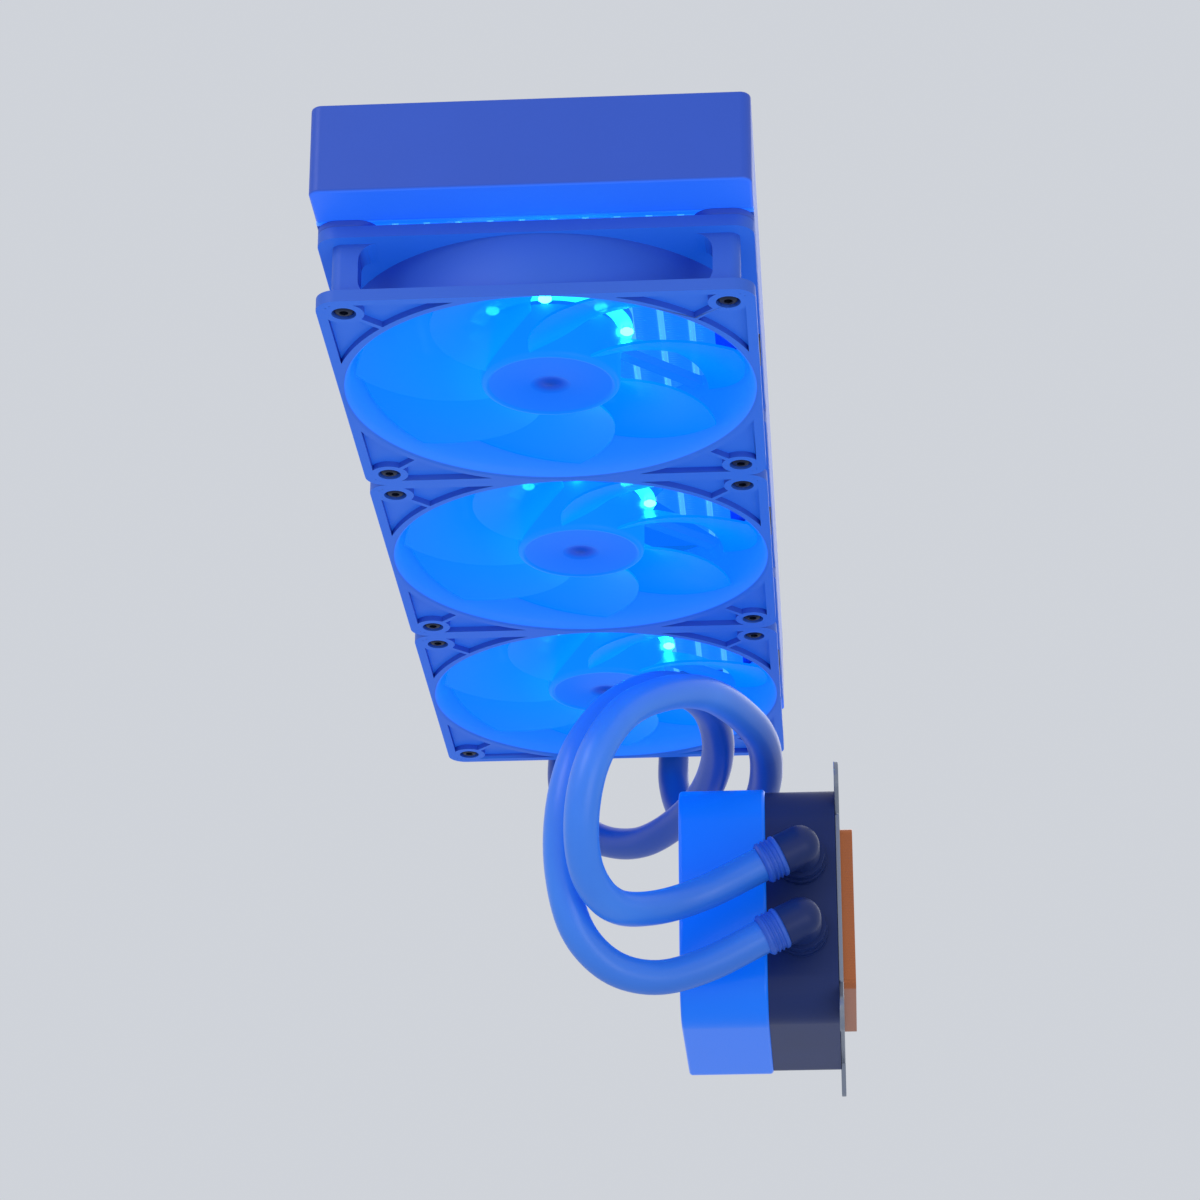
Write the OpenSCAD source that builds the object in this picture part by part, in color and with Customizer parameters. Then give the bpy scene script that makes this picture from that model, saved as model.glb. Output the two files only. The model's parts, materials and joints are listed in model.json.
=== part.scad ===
// Liquid cooling radiator: a three-fan radiator with its fans, hoses and pump head.
// X runs across the radiator, Y along it and Z up. The origin is the middle of the
// radiator's top face, where the middle fan bay is screwed to a roof panel.

/* [Radiator] */
// Thickness of the radiator
rad_t = 27; // [24:0.5:40]
// How far the front end tank reaches past the fans
front_overhang = 16; // [10:1:40]
// How far the rear end tank reaches past the fans
rear_overhang = 21; // [18:1:45]
// How far each end tank reaches in under the end fans
tank_inset = 3; // [2:0.5:6]
// Wall of the end tanks
tank_wall = 1.5; // [1:0.1:3]
// Thickness of the plates that hold the tube ends
header_t = 1.5; // [1:0.1:3]
// Sheet thickness of the side rails
rail_t = 1.2; // [0.8:0.1:2]
// Width of the rails' flanges
rail_flange = 13.5; // [11:0.5:16]
// Radius of the holes for the roof screws
roof_hole_r = 1.75; // [1.5:0.05:2]
// Radius of the tanks' upright edges
tank_edge_r = 3; // [1:0.5:6]

/* [Core] */
// Distance between flat tubes
tube_pitch = 8.8; // [7:0.1:12]
// Thickness of a flat tube
tube_w = 2; // [1.6:0.1:3]
// Wall of a flat tube
tube_wall = 0.4; // [0.3:0.05:0.6]
// Gap between the core and each face of the radiator
core_gap = 4.5; // [3.8:0.1:7]
// Length of one full fold of a fin strip
fin_pitch = 16; // [8:0.5:24]
// Thickness of the fin sheet
fin_t = 0.4; // [0.3:0.05:0.8]

/* [Fans] */
// Side of a fan, which is also the width of the radiator
fan_size = 120; // [96:1:150]
// Height of a fan with its pads
fan_t = 25; // [20:0.5:32]
// Distance of the screws from the edge of a fan
screw_edge = 7.5; // [7:0.25:9]
// Thickness of the rubber corner pads
pad_t = 2; // [1:0.25:3]
// Thickness of the two flanges of a fan frame
flange_t = 3.5; // [3:0.25:5]
// Corner radius of a fan frame
frame_r = 6; // [4:0.5:8]
// Wall of the round duct
duct_wall = 2; // [1.5:0.25:4]
// Gap between the blade tips and the duct
tip_gap = 1.5; // [1:0.25:4]
// Radius of the rotor hub
hub_r = 20; // [18:0.5:26]
// Number of blades
blade_count = 7; // [5:1:9]
// Radius of the fan shaft
fan_shaft_r = 1.5; // [1:0.1:2]
// Radius of the screws
screw_r = 1.5; // [1.2:0.1:1.6]
// Radius of the screw holes in the fan frames
screw_hole_r = 2.2; // [2:0.1:2.4]

/* [Pump head] */
// Side of the square pump head
pump_size = 80; // [70:1:100]
// Corner radius of the pump head
pump_corner = 14; // [8:1:20]
// Depth of the cap
cap_depth = 28; // [24:1:40]
// Depth of the pump body
body_depth = 22.5; // [20:0.5:34]
// Thickness of the cold plate
plate_t = 5.5; // [4:0.25:8]
// Side of the cold plate
plate_size = 54; // [52:1:60]
// Wall of the cap
cap_wall = 2.2; // [1.5:0.1:4]
// Radius of the pump shaft
pump_shaft_r = 1.5; // [1:0.1:2]
// Radius of the pump chamber
chamber_r = 20; // [18:0.5:21]
// Distance between the bracket's screw holes
bracket_spacing = 78; // [75:0.5:110]
// Thickness of the bracket
bracket_t = 1.5; // [1:0.25:2]
// Distance of each port from the middle of the pump head
port_offset = 12; // [10:0.5:16]

/* [Hoses] */
// Outer diameter of the hoses
hose_d = 11; // [10:0.5:13]
// Distance of each radiator port from the centre line
port_x = 20; // [16:0.5:24]
// Gap between a shaft and its bore
running_gap = 0.03; // [0.02:0.01:0.08]

/* [Hidden] */
$fn = 48;
cut = 1;                                    // how far a cutting shape runs past a face

// Radiator and bays
rad_w = fan_size;
bays = [-fan_size, 0, fan_size];
header_y = 1.5 * fan_size - tank_inset;     // inner face of each header plate
front_y = -1.5 * fan_size - front_overhang;
rear_y = 1.5 * fan_size + rear_overhang;
hole_at = fan_size / 2 - screw_edge;
core_t = rad_t - 2 * core_gap;
strip_w = tube_pitch - tube_w;
tube_room = 2 * (hole_at - roof_hole_r - 1);    // the tubes stand clear of the screw holes
tube_count = floor((tube_room - tube_w) / tube_pitch) + 1;
core_z = -rad_t + core_gap;
tube_proud = 1;                             // tube ends stand out of the header plates
tank_y = header_y + header_t;

// Fans: all heights are measured up from the intake face
fan_z = -rad_t - fan_t;
frame_h = fan_t - pad_t;
duct_r = fan_size / 2 - 1;
bore_r = duct_r - duct_wall;
mouth_r = duct_r + 0.3;
tip_r = bore_r - tip_gap;
hub_wall = 1.5;
hub_bottom = 2;
base_t = 2.5;
base_r = hub_r + 3.5;
hub_top = frame_h - base_t - 2.5;           // open rim of the hub, clear of the lights
tube_r = fan_shaft_r + 3;                   // bearing tube on the motor base
magnet_t = 2.5;
magnet_r = hub_r - hub_wall;
stator_r = magnet_r - magnet_t - 1;
bearing_r = fan_shaft_r + 1.5;
strut_w = 4;
head_r = 2.9;
head_h = 1.8;
head_seat = 2;                              // depth of the pocket round a screw head
screw_reach = 2.8;                          // how far a fan screw reaches into the radiator
pad_side = 17;

// Pump head: depths run along +X from the cap's face
cap_x = 27;
pump_y = 104;
pump_z = -143;
seam_x = cap_x + cap_depth;
body_end_x = seam_x + body_depth;
plate_x = body_end_x + plate_t;             // face of the cold plate
can_r = 11;
can_wall = 1.5;
can_x = seam_x - 17;                        // closed end of the rotor can
chamber_x = seam_x + 3;
cover_t = 2;
cover_x = body_end_x - 7.5;
rotor_clear = 1;
port_r = 4.5;
elbow_x = seam_x + 11;
elbow_reach = 13;                           // elbow centre stands this far off the pump
arm = [-12, 0, -6];                         // from an elbow's centre to its hose end
arm_len = norm(arm);
window_r = 27;
barb_r = 4;
barb_y = rear_y - 11;
barb_end = 19;                              // hose end below the tank
ferrule_r = hose_d / 2 + 1.3;

// Routes of the two hoses, from the pump's elbows to the radiator's barbs
supply_route = [
    [54, 51, -137], [36, 51, -146], [20, 44, -153], [8, 31, -156], [1, 17, -150], [0, 4, -137],
    [4, -2, -120], [13, 1, -104], [25, 13, -93], [37, 31, -86], [47, 53, -84], [54, 76, -85],
    [55, 101, -88], [51, 126, -91], [43, 149, -91], [33, 168, -85], [24, 184, -73],
    [20, 190, -59], [20, 190, -46]];
return_route = [
    [54, 51, -161], [36, 51, -170], [20, 50, -174], [6, 46, -171], [-4, 38, -161],
    [-8, 29, -144], [-7, 22, -126], [-2, 21, -108], [8, 27, -92], [20, 39, -81], [30, 57, -75],
    [37, 78, -74], [39, 101, -78], [35, 124, -83], [25, 146, -87], [10, 165, -89],
    [-5, 180, -83], [-16, 188, -72], [-20, 190, -58], [-20, 190, -46]];
hose_sides = 10;
rings_per_span = 2;

white = "white";
plastic_white = "whitesmoke";
dark = "#202226";

// ---------- shared shapes ----------

// Flat rounded rectangle, centred
module rounded_rect(w, l, r) {
    square([w - 2 * r, l], center = true);
    square([w, l - 2 * r], center = true);
    for (x = [-1, 1], y = [-1, 1])
        translate([x * (w / 2 - r), y * (l / 2 - r)]) circle(r);
}

// Ring of height h
module ring(r_out, r_in, h) {
    difference() {
        cylinder(r = r_out, h = h);
        translate([0, 0, -cut]) cylinder(r = r_in, h = h + 2 * cut);
    }
}

// Places children at the four screw positions of a fan bay
module at_corners(d) {
    for (x = [-d, d], y = [-d, d]) translate([x, y, 0]) children();
}

// ---------- radiator ----------

module side_rail(side) {
    color(white) difference() {
        translate([side < 0 ? -rad_w / 2 : rad_w / 2 - rail_flange, -header_y, -rad_t])
            cube([rail_flange, 2 * header_y, rad_t]);
        translate([side < 0 ? -rad_w / 2 + rail_t : rad_w / 2 - rail_flange - cut,
                   -header_y - cut, -rad_t + rail_t])
            cube([rail_flange - rail_t + cut, 2 * (header_y + cut), rad_t - 2 * rail_t]);
        for (bay = bays, y = [-hole_at, hole_at]) translate([side * hole_at, bay + y, -rad_t]) {
            translate([0, 0, -cut]) cylinder(r = screw_r, h = rad_t / 2);
            translate([0, 0, rad_t / 2]) cylinder(r = roof_hole_r, h = rad_t / 2 + cut);
        }
    }
}

module side_rail_left() { side_rail(-1); }
module side_rail_right() { side_rail(1); }

// X position of tube number i
function tube_x(i) = (i - (tube_count - 1) / 2) * tube_pitch;

module flat_tubes() {
    reach = header_y + header_t + tube_proud;
    color("silver") for (i = [0 : tube_count - 1])
        translate([tube_x(i), 0, core_z]) difference() {
            translate([-tube_w / 2, -reach, 0]) cube([tube_w, 2 * reach, core_t]);
            translate([-tube_w / 2 + tube_wall, -reach - cut, tube_wall])
                cube([tube_w - 2 * tube_wall, 2 * (reach + cut), core_t - 2 * tube_wall]);
        }
}

// One strip folded square to and fro, standing between two tubes
module fin_strip() {
    half_pitch = fin_pitch / 2;
    folds = floor((2 * header_y - fin_t) / half_pitch);
    start = -(folds - 1) * half_pitch / 2 - fin_t / 2;
    linear_extrude(core_t) {
        for (i = [0 : folds - 1])
            translate([-strip_w / 2, start + i * half_pitch]) square([strip_w, fin_t]);
        for (i = [0 : folds - 2])
            translate([i % 2 == 0 ? -strip_w / 2 : strip_w / 2 - fin_t, start + i * half_pitch])
                square([fin_t, half_pitch]);
    }
}

module fin_strips() {
    color("lightsteelblue") for (i = [1 : tube_count - 1])
        translate([tube_x(i) - tube_pitch / 2, 0, core_z]) fin_strip();
}

module header_plate(y) {
    color("silver") difference() {
        translate([-rad_w / 2, y, -rad_t]) cube([rad_w, header_t, rad_t]);
        for (i = [0 : tube_count - 1])
            translate([tube_x(i) - tube_w / 2, y - cut, core_z])
                cube([tube_w, header_t + 2 * cut, core_t]);
    }
}

module header_front() { header_plate(-tank_y); }
module header_rear() { header_plate(header_y); }

// Open box whose closed end is at y = reach and whose mouth is at y = 0
module tank_shell(reach) {
    difference() {
        translate([0, 0, -rad_t]) linear_extrude(rad_t) {
            translate([-rad_w / 2, 0]) square([rad_w, reach - tank_edge_r]);
            translate([-rad_w / 2 + tank_edge_r, 0]) square([rad_w - 2 * tank_edge_r, reach]);
            for (x = [-1, 1]) translate([x * (rad_w / 2 - tank_edge_r), reach - tank_edge_r])
                circle(tank_edge_r);
        }
        translate([-rad_w / 2 + tank_wall, -cut, -rad_t + tank_wall])
            cube([rad_w - 2 * tank_wall, reach - tank_wall + cut, rad_t - 2 * tank_wall]);
    }
}

module end_tank_front() {
    color(white) translate([0, -tank_y, 0]) mirror([0, 1, 0])
        tank_shell(-front_y - tank_y);
}

// The fill plug screws into the rear tank's end face
plug_x = 36;
plug_r = 5;

module end_tank_rear() {
    color(white) difference() {
        translate([0, tank_y, 0]) tank_shell(rear_y - tank_y);
        for (x = [-port_x, port_x]) translate([x, barb_y, -rad_t - cut])
            cylinder(r = barb_r, h = tank_wall + 2 * cut);
        translate([plug_x, rear_y - tank_wall - cut, -rad_t / 2]) rotate([-90, 0, 0])
            cylinder(r = plug_r, h = tank_wall + 2 * cut);
    }
}

module tank_baffle() {
    color("silver") translate([-tank_wall / 2, tank_y + tube_proud, -rad_t + tank_wall])
        cube([tank_wall, rear_y - tank_wall - tank_y - tube_proud, rad_t - 2 * tank_wall]);
}

seal_t = 1;

module fill_plug() {
    color("silver") translate([plug_x, rear_y, -rad_t / 2]) rotate([-90, 0, 0]) {
        translate([0, 0, -tank_wall - 2]) cylinder(r = plug_r, h = tank_wall + 2 + seal_t);
        difference() {
            translate([0, 0, seal_t]) cylinder(r = plug_r + 2.5, h = 2.5);
            translate([0, 0, seal_t + 1]) cylinder(r = 2.5, h = 2.5, $fn = 6);
        }
    }
}

module fill_plug_seal() {
    color(dark) translate([plug_x, rear_y, -rad_t / 2]) rotate([-90, 0, 0])
        ring(plug_r + 1.8, plug_r, seal_t);
}

module tank_barbs() {
    color("silver") for (x = [-port_x, port_x]) translate([x, barb_y, -rad_t]) mirror([0, 0, 1]) {
        translate([0, 0, -tank_wall - 1]) cylinder(r = barb_r, h = tank_wall + 1 + barb_end);
        cylinder(r = barb_r + 4, h = 2.5);
        translate([0, 0, 2.5]) cylinder(r = barb_r + 3.4, h = 5, $fn = 6);
    }
}

// ---------- fans ----------

// One recessed side window, cut through the middle of a frame wall
module side_window() {
    window_w = 2 * (hole_at - 4);
    window_h = frame_h - 2 * flange_t;
    translate([0, -fan_size / 2 - cut, frame_h / 2]) rotate([-90, 0, 0])
        linear_extrude(fan_size / 4) rounded_rect(window_w, window_h, 5);
}

// Pockets moulded into the corners of the intake face
module corner_pockets() {
    edge = fan_size / 2 - 2.8;
    at_side = edge / 3;
    linear_extrude(1.8) for (turn = [0 : 3]) rotate(turn * 90) difference() {
        translate([at_side, at_side]) square(edge - at_side);
        circle(mouth_r + 2);
        translate([hole_at, hole_at]) circle(screw_hole_r + 3.4);
        rotate(45) square([2 * fan_size, 1.4], center = true);
    }
}

module strut() {
    translate([base_r - 2, -strut_w / 2, frame_h - base_t]) cube([bore_r - base_r + 3, strut_w, base_t]);
}

module fan_frame(bay) {
    post_inset = 4;
    color(plastic_white) translate([0, bay, fan_z]) {
        difference() {
            union() {
                for (z = [0, frame_h - flange_t]) translate([0, 0, z])
                    linear_extrude(flange_t) rounded_rect(fan_size, fan_size, frame_r);
                difference() {
                    linear_extrude(frame_h) rounded_rect(
                        fan_size - 2 * post_inset, fan_size - 2 * post_inset, 3);
                    for (turn = [0 : 3]) rotate(turn * 90) side_window();
                }
                cylinder(r = duct_r, h = frame_h, $fn = 96);
            }
            translate([0, 0, -cut]) cylinder(r = bore_r, h = frame_h + 2 * cut, $fn = 96);
            // Flared mouth, wide at the intake face and at the outlet
            rotate_extrude($fn = 96) polygon([[0, -cut], [mouth_r, -cut], [mouth_r, 0],
                [mouth_r - 1.1, 1], [bore_r + 0.35, 3], [bore_r, 6], [0, 6]]);
            at_corners(hole_at) {
                translate([0, 0, -cut]) cylinder(r = screw_hole_r, h = frame_h + 2 * cut);
                translate([0, 0, -cut]) cylinder(r = head_r + 0.5, h = head_seat + cut);
            }
            translate([0, 0, -0.001]) corner_pockets();
        }
        for (turn = [0 : 3]) rotate(45 + turn * 90) strut();
        difference() {
            union() {
                translate([0, 0, frame_h - base_t]) cylinder(r = base_r, h = base_t);
                translate([0, 0, hub_bottom + 5]) cylinder(r = tube_r, h = frame_h - hub_bottom - 5);
            }
            translate([0, 0, hub_bottom + 4]) cylinder(r = bearing_r, h = frame_h - hub_bottom - 4 - 1);
        }
    }
}

// Blade shape: r_step runs from root to tip and c_step along the chord
blade_rows = 7;
blade_cols = 8;
blade_t = 1.3;
root_r = hub_r - hub_wall / 2;
blade_low = hub_bottom + 1.5;
blade_high = hub_top - 1.5;

function blade_point(row, col, side) =
    let (f = row / (blade_rows - 1),
         c = col / (blade_cols - 1),
         r = root_r + (tip_r - root_r) * f,
         chord = 360 / blade_count * (1.02 + 0.05 * f),
         turn = 34 * pow(f, 1.4) + chord * c,
         z = blade_low + (blade_high - blade_low) * (c - 0.12 * sin(180 * c)),
         half = blade_t / 2 * (0.35 + 0.65 * sin(180 * (0.1 + 0.8 * c))))
    [r * cos(turn), r * sin(turn), z + side * half];

module blade() {
    n = blade_rows * blade_cols;
    at = function (row, col, skin) skin * n + row * blade_cols + col;
    last_row = blade_rows - 1;
    last_col = blade_cols - 1;
    polyhedron(
        points = concat(
            [for (row = [0 : last_row], col = [0 : last_col]) blade_point(row, col, 1)],
            [for (row = [0 : last_row], col = [0 : last_col]) blade_point(row, col, -1)]),
        faces = concat(
            [for (row = [0 : last_row - 1], col = [0 : last_col - 1]) each
                [[at(row, col, 0), at(row, col + 1, 0), at(row + 1, col, 0)],
                 [at(row, col + 1, 0), at(row + 1, col + 1, 0), at(row + 1, col, 0)]]],
            [for (row = [0 : last_row - 1], col = [0 : last_col - 1]) each
                [[at(row, col, 1), at(row + 1, col, 1), at(row, col + 1, 1)],
                 [at(row, col + 1, 1), at(row + 1, col, 1), at(row + 1, col + 1, 1)]]],
            [for (col = [0 : last_col - 1]) each
                [[at(0, col, 0), at(0, col, 1), at(0, col + 1, 0)],
                 [at(0, col + 1, 0), at(0, col, 1), at(0, col + 1, 1)],
                 [at(last_row, col, 0), at(last_row, col + 1, 0), at(last_row, col, 1)],
                 [at(last_row, col + 1, 0), at(last_row, col + 1, 1), at(last_row, col, 1)]]],
            [for (row = [0 : last_row - 1]) each
                [[at(row, 0, 0), at(row + 1, 0, 0), at(row, 0, 1)],
                 [at(row + 1, 0, 0), at(row + 1, 0, 1), at(row, 0, 1)],
                 [at(row, last_col, 0), at(row, last_col, 1), at(row + 1, last_col, 0)],
                 [at(row + 1, last_col, 0), at(row, last_col, 1), at(row + 1, last_col, 1)]]]));
}

module fan_rotor(bay) {
    boss_h = 3.5;
    color("deepskyblue") translate([0, bay, fan_z]) {
        difference() {
            translate([0, 0, hub_bottom]) cylinder(r = hub_r, h = hub_top - hub_bottom);
            translate([0, 0, hub_bottom + hub_wall])
                cylinder(r = hub_r - hub_wall, h = hub_top - hub_bottom);
            translate([0, 0, hub_bottom - cut]) cylinder(r = 5, h = cut + 0.5);
        }
        translate([0, 0, hub_bottom + hub_wall]) ring(fan_shaft_r + 2, fan_shaft_r, boss_h - hub_wall);
        for (i = [0 : blade_count - 1]) rotate(i * 360 / blade_count) blade();
    }
}

module fan_shaft(bay) {
    color("silver") translate([0, bay, fan_z + hub_bottom + hub_wall])
        cylinder(r = fan_shaft_r, h = frame_h - hub_bottom - hub_wall - 2);
}

module fan_magnet(bay) {
    color(dark) translate([0, bay, fan_z + hub_bottom + 3])
        ring(magnet_r, magnet_r - magnet_t, hub_top - hub_bottom - 4);
}

module fan_bearing(bay) {
    color("goldenrod") translate([0, bay, fan_z + hub_bottom + 5])
        ring(bearing_r, fan_shaft_r + running_gap, frame_h - hub_bottom - 5 - 2.5);
}

module fan_stator(bay) {
    low = hub_bottom + 6;
    high = frame_h - base_t - 4;
    color("chocolate") translate([0, bay, fan_z + low]) difference() {
        union() {
            cylinder(r = tube_r + 2, h = frame_h - base_t - low);
            for (turn = [0 : 3]) rotate(turn * 90) {
                translate([-2, 0, 2]) cube([4, stator_r - 2, high - low - 4]);
                intersection() {
                    ring(stator_r, stator_r - 2, high - low);
                    translate([-stator_r / 2, 0, -cut])
                        cube([stator_r, stator_r + cut, high - low + 2 * cut]);
                }
            }
        }
        translate([0, 0, -cut]) cylinder(r = tube_r, h = frame_h);
    }
}

led_count = 8;

module fan_led_ring(bay) {
    color("cyan") translate([0, bay, fan_z + frame_h - base_t - 0.8]) {
        ring(base_r, hub_r - 1, 0.8);
        for (i = [0 : led_count - 1]) rotate(i * 360 / led_count)
            translate([hub_r + 0.6, -1.5, -1]) cube([2.4, 3, 1]);
    }
}

module corner_pads(bay) {
    color("gainsboro") translate([0, bay, -rad_t - pad_t]) for (turn = [0 : 3]) rotate(turn * 90)
        translate([fan_size / 2 - pad_side / 2, fan_size / 2 - pad_side / 2, 0])
            difference() {
                linear_extrude(pad_t) rounded_rect(pad_side, pad_side, frame_r);
                translate([hole_at - fan_size / 2 + pad_side / 2,
                           hole_at - fan_size / 2 + pad_side / 2, -cut])
                    cylinder(r = screw_hole_r, h = pad_t + 2 * cut);
                translate([-fan_size / 2 + pad_side / 2, -fan_size / 2 + pad_side / 2, -cut])
                    cylinder(r = bore_r, h = pad_t + 2 * cut, $fn = 96);
            }
}

module fan_frame_front() { fan_frame(bays[0]); }
module fan_frame_middle() { fan_frame(bays[1]); }
module fan_frame_rear() { fan_frame(bays[2]); }
module fan_rotor_front() { fan_rotor(bays[0]); }
module fan_rotor_middle() { fan_rotor(bays[1]); }
module fan_rotor_rear() { fan_rotor(bays[2]); }
module fan_shaft_front() { fan_shaft(bays[0]); }
module fan_shaft_middle() { fan_shaft(bays[1]); }
module fan_shaft_rear() { fan_shaft(bays[2]); }
module fan_magnet_front() { fan_magnet(bays[0]); }
module fan_magnet_middle() { fan_magnet(bays[1]); }
module fan_magnet_rear() { fan_magnet(bays[2]); }
module fan_stator_front() { fan_stator(bays[0]); }
module fan_stator_middle() { fan_stator(bays[1]); }
module fan_stator_rear() { fan_stator(bays[2]); }
module fan_bearing_front() { fan_bearing(bays[0]); }
module fan_bearing_middle() { fan_bearing(bays[1]); }
module fan_bearing_rear() { fan_bearing(bays[2]); }
module fan_led_ring_front() { fan_led_ring(bays[0]); }
module fan_led_ring_middle() { fan_led_ring(bays[1]); }
module fan_led_ring_rear() { fan_led_ring(bays[2]); }
module corner_pads_front() { corner_pads(bays[0]); }
module corner_pads_middle() { corner_pads(bays[1]); }
module corner_pads_rear() { corner_pads(bays[2]); }

module fan_screws() {
    color(dark) for (bay = bays) translate([0, bay, fan_z + head_seat]) at_corners(hole_at) {
        difference() {
            translate([0, 0, -head_h]) cylinder(r = head_r, h = head_h);
            translate([0, 0, -head_h - cut]) cylinder(r = 1.1, h = cut + 1, $fn = 6);
        }
        cylinder(r = screw_r, h = fan_t - head_seat + screw_reach);
    }
}

// A small socket for the fan lead, set in the round duct between the flanges
module lead_sockets() {
    socket_w = 9;
    socket_h = 6;
    socket_gap = 0.05;
    color(dark) for (bay = bays)
        translate([duct_r, bay - socket_w / 2, fan_z + frame_h / 2 - socket_h / 2]) difference() {
            translate([-1, 0, 0]) cube([2, socket_w, socket_h]);
            translate([0.2, 1, 1]) cube([1, socket_w - 2, socket_h - 2]);
            // Its back follows the duct
            translate([-duct_r, socket_w / 2, -cut])
                cylinder(r = duct_r + socket_gap, h = socket_h + 2 * cut, $fn = 96);
        }
}

// ---------- hoses ----------

// Point at t between p1 and p2 on a smooth curve through four points
function through(p0, p1, p2, p3, t) =
    0.5 * (2 * p1 + (p2 - p0) * t + (2 * p0 - 5 * p1 + 4 * p2 - p3) * t * t
           + (3 * p1 - p0 - 3 * p2 + p3) * t * t * t);

// Route with one more point before its start and one after its end
function extended(p) = let (n = len(p)) concat([2 * p[0] - p[1]], p, [2 * p[n - 1] - p[n - 2]]);

function smooth_route(p, steps) =
    let (q = extended(p), n = len(p))
    concat([for (i = [0 : n - 2], k = [0 : steps - 1])
                through(q[i], q[i + 1], q[i + 2], q[i + 3], k / steps)],
           [p[n - 1]]);

function unit(v) = v / norm(v);
function square_to(v, axis) = unit(v - (v * axis) * axis);

// Direction of the path at point i
function heading(p, i) =
    i == 0 ? unit(p[1] - p[0])
    : i == len(p) - 1 ? unit(p[i] - p[i - 1])
    : unit(unit(p[i + 1] - p[i]) + unit(p[i] - p[i - 1]));

// Solid tube of radius r swept along a route. Its ends are square to the first
// and last directions given.
module swept_tube(route, r, first, last) {
    p = smooth_route(route, rings_per_span);
    n = len(p);
    axes = [for (i = [0 : n - 1]) i == 0 ? unit(first) : i == n - 1 ? unit(last) : heading(p, i)];
    across = [for (i = 0, u = square_to([0, 1, 0.3], axes[0]); i < n;
                   i = i + 1, u = i < n ? square_to(u, axes[i]) : u) u];
    rings = [for (i = [0 : n - 1], k = [0 : hose_sides - 1])
        let (a = k * 360 / hose_sides, v = cross(axes[i], across[i]))
        p[i] + r * (cos(a) * across[i] + sin(a) * v)];
    side = function (i, k) i * hose_sides + (k % hose_sides);
    polyhedron(points = rings, faces = concat(
        [[for (k = [0 : hose_sides - 1]) k]],
        [[for (k = [hose_sides - 1 : -1 : 0]) side(n - 1, k)]],
        [for (i = [0 : n - 2], k = [0 : hose_sides - 1]) each
            [[side(i, k), side(i + 1, k), side(i, k + 1)],
             [side(i + 1, k), side(i + 1, k + 1), side(i, k + 1)]]]));
}

module hose_supply() { color("lightgray") swept_tube(supply_route, hose_d / 2, arm, [0, 0, 1]); }
module hose_return() { color("lightgray") swept_tube(return_route, hose_d / 2, arm, [0, 0, 1]); }

// Turns children so that their +Z runs along an elbow's arm
module along_arm() {
    rotate([0, atan2(arm[0], arm[2]), 0]) children();
}

module at_elbow(side) {
    translate([elbow_x, pump_y - pump_size / 2 - elbow_reach, pump_z + side * port_offset]) children();
}

collar_len = 7;                             // length of the sleeves over the hose ends

module hose_ferrules() {
    color("lightgray") {
        for (x = [-port_x, port_x]) translate([x, barb_y, -rad_t - barb_end])
            ring(ferrule_r, barb_r, barb_end - 7.5);
        for (side = [-1, 1]) at_elbow(side) along_arm()
            translate([0, 0, arm_len - collar_len]) ring(ferrule_r, barb_r, collar_len);
    }
}

// ---------- pump head ----------

// Children are drawn with +Z as depth from the cap's face plane at x = 0
module in_pump(x) {
    translate([x, pump_y, pump_z]) rotate([0, 90, 0]) children();
}

module pump_outline(inset) {
    rounded_rect(pump_size - 2 * inset, pump_size - 2 * inset, pump_corner - inset);
}

module pump_cap() {
    color(plastic_white) in_pump(cap_x) difference() {
        linear_extrude(cap_depth) pump_outline(0);
        translate([0, 0, cap_wall]) linear_extrude(cap_depth) pump_outline(cap_wall);
        translate([0, 0, -cut]) cylinder(r = window_r, h = cap_wall + 2 * cut);
    }
}

module pump_window() {
    color("lightcyan") in_pump(cap_x + 0.4) cylinder(r = window_r, h = cap_wall - 0.4);
}

board_t = 1.6;

module pump_circuit_board() {
    color("seagreen") in_pump(can_x - board_t) difference() {
        linear_extrude(board_t) rounded_rect(pump_size - 16, pump_size - 16, 6);
        for (turn = [0 : 3]) rotate(turn * 90)
            translate([can_r + 12, 0, -cut]) cylinder(r = 2, h = board_t + 2 * cut);
    }
}

module pump_stator() {
    color("chocolate") in_pump(can_x + 4) {
        ring(can_r + 3, can_r, seam_x - can_x - 4);
        for (i = [0 : 5]) rotate(i * 60) translate([can_r + 2, -3, 1])
            cube([9, 6, seam_x - can_x - 8]);
    }
}

module pump_body() {
    inner_r = can_r - can_wall;
    color(dark) difference() {
        union() {
            in_pump(seam_x) linear_extrude(body_depth) pump_outline(1);
            in_pump(can_x) cylinder(r = can_r, h = seam_x - can_x + 1);
            for (side = [-1, 1]) at_elbow(side) rotate([-90, 0, 0])
                translate([0, 0, elbow_reach - 1.5]) cylinder(r = 8.5, h = 6);
        }
        in_pump(can_x + can_wall) cylinder(r = inner_r, h = chamber_x - can_x);
        in_pump(chamber_x) cylinder(r = chamber_r, h = body_end_x - chamber_x + cut);
        // Groove for the seal
        in_pump(body_end_x - 1.5) ring(chamber_r + 3.5, chamber_r + 1.5, 1.5 + cut);
        for (side = [-1, 1]) at_elbow(side) rotate([-90, 0, 0]) {
            cylinder(r = port_r, h = elbow_reach + 6);
            cylinder(r = port_r - 1, h = elbow_reach + pump_size / 2 - chamber_r + 8);
        }
        in_pump(body_end_x - 7) at_plate_screws() cylinder(r = 1.25, h = 7 + cut);
    }
}

// Cold plate screws: four at the corners and two along each long side
module at_plate_screws() {
    far = plate_size / 2 - 4;
    for (x = [-far, far], y = [-far, -far / 2.2, far / 2.2, far]) translate([x, y, 0]) children();
}

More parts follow.
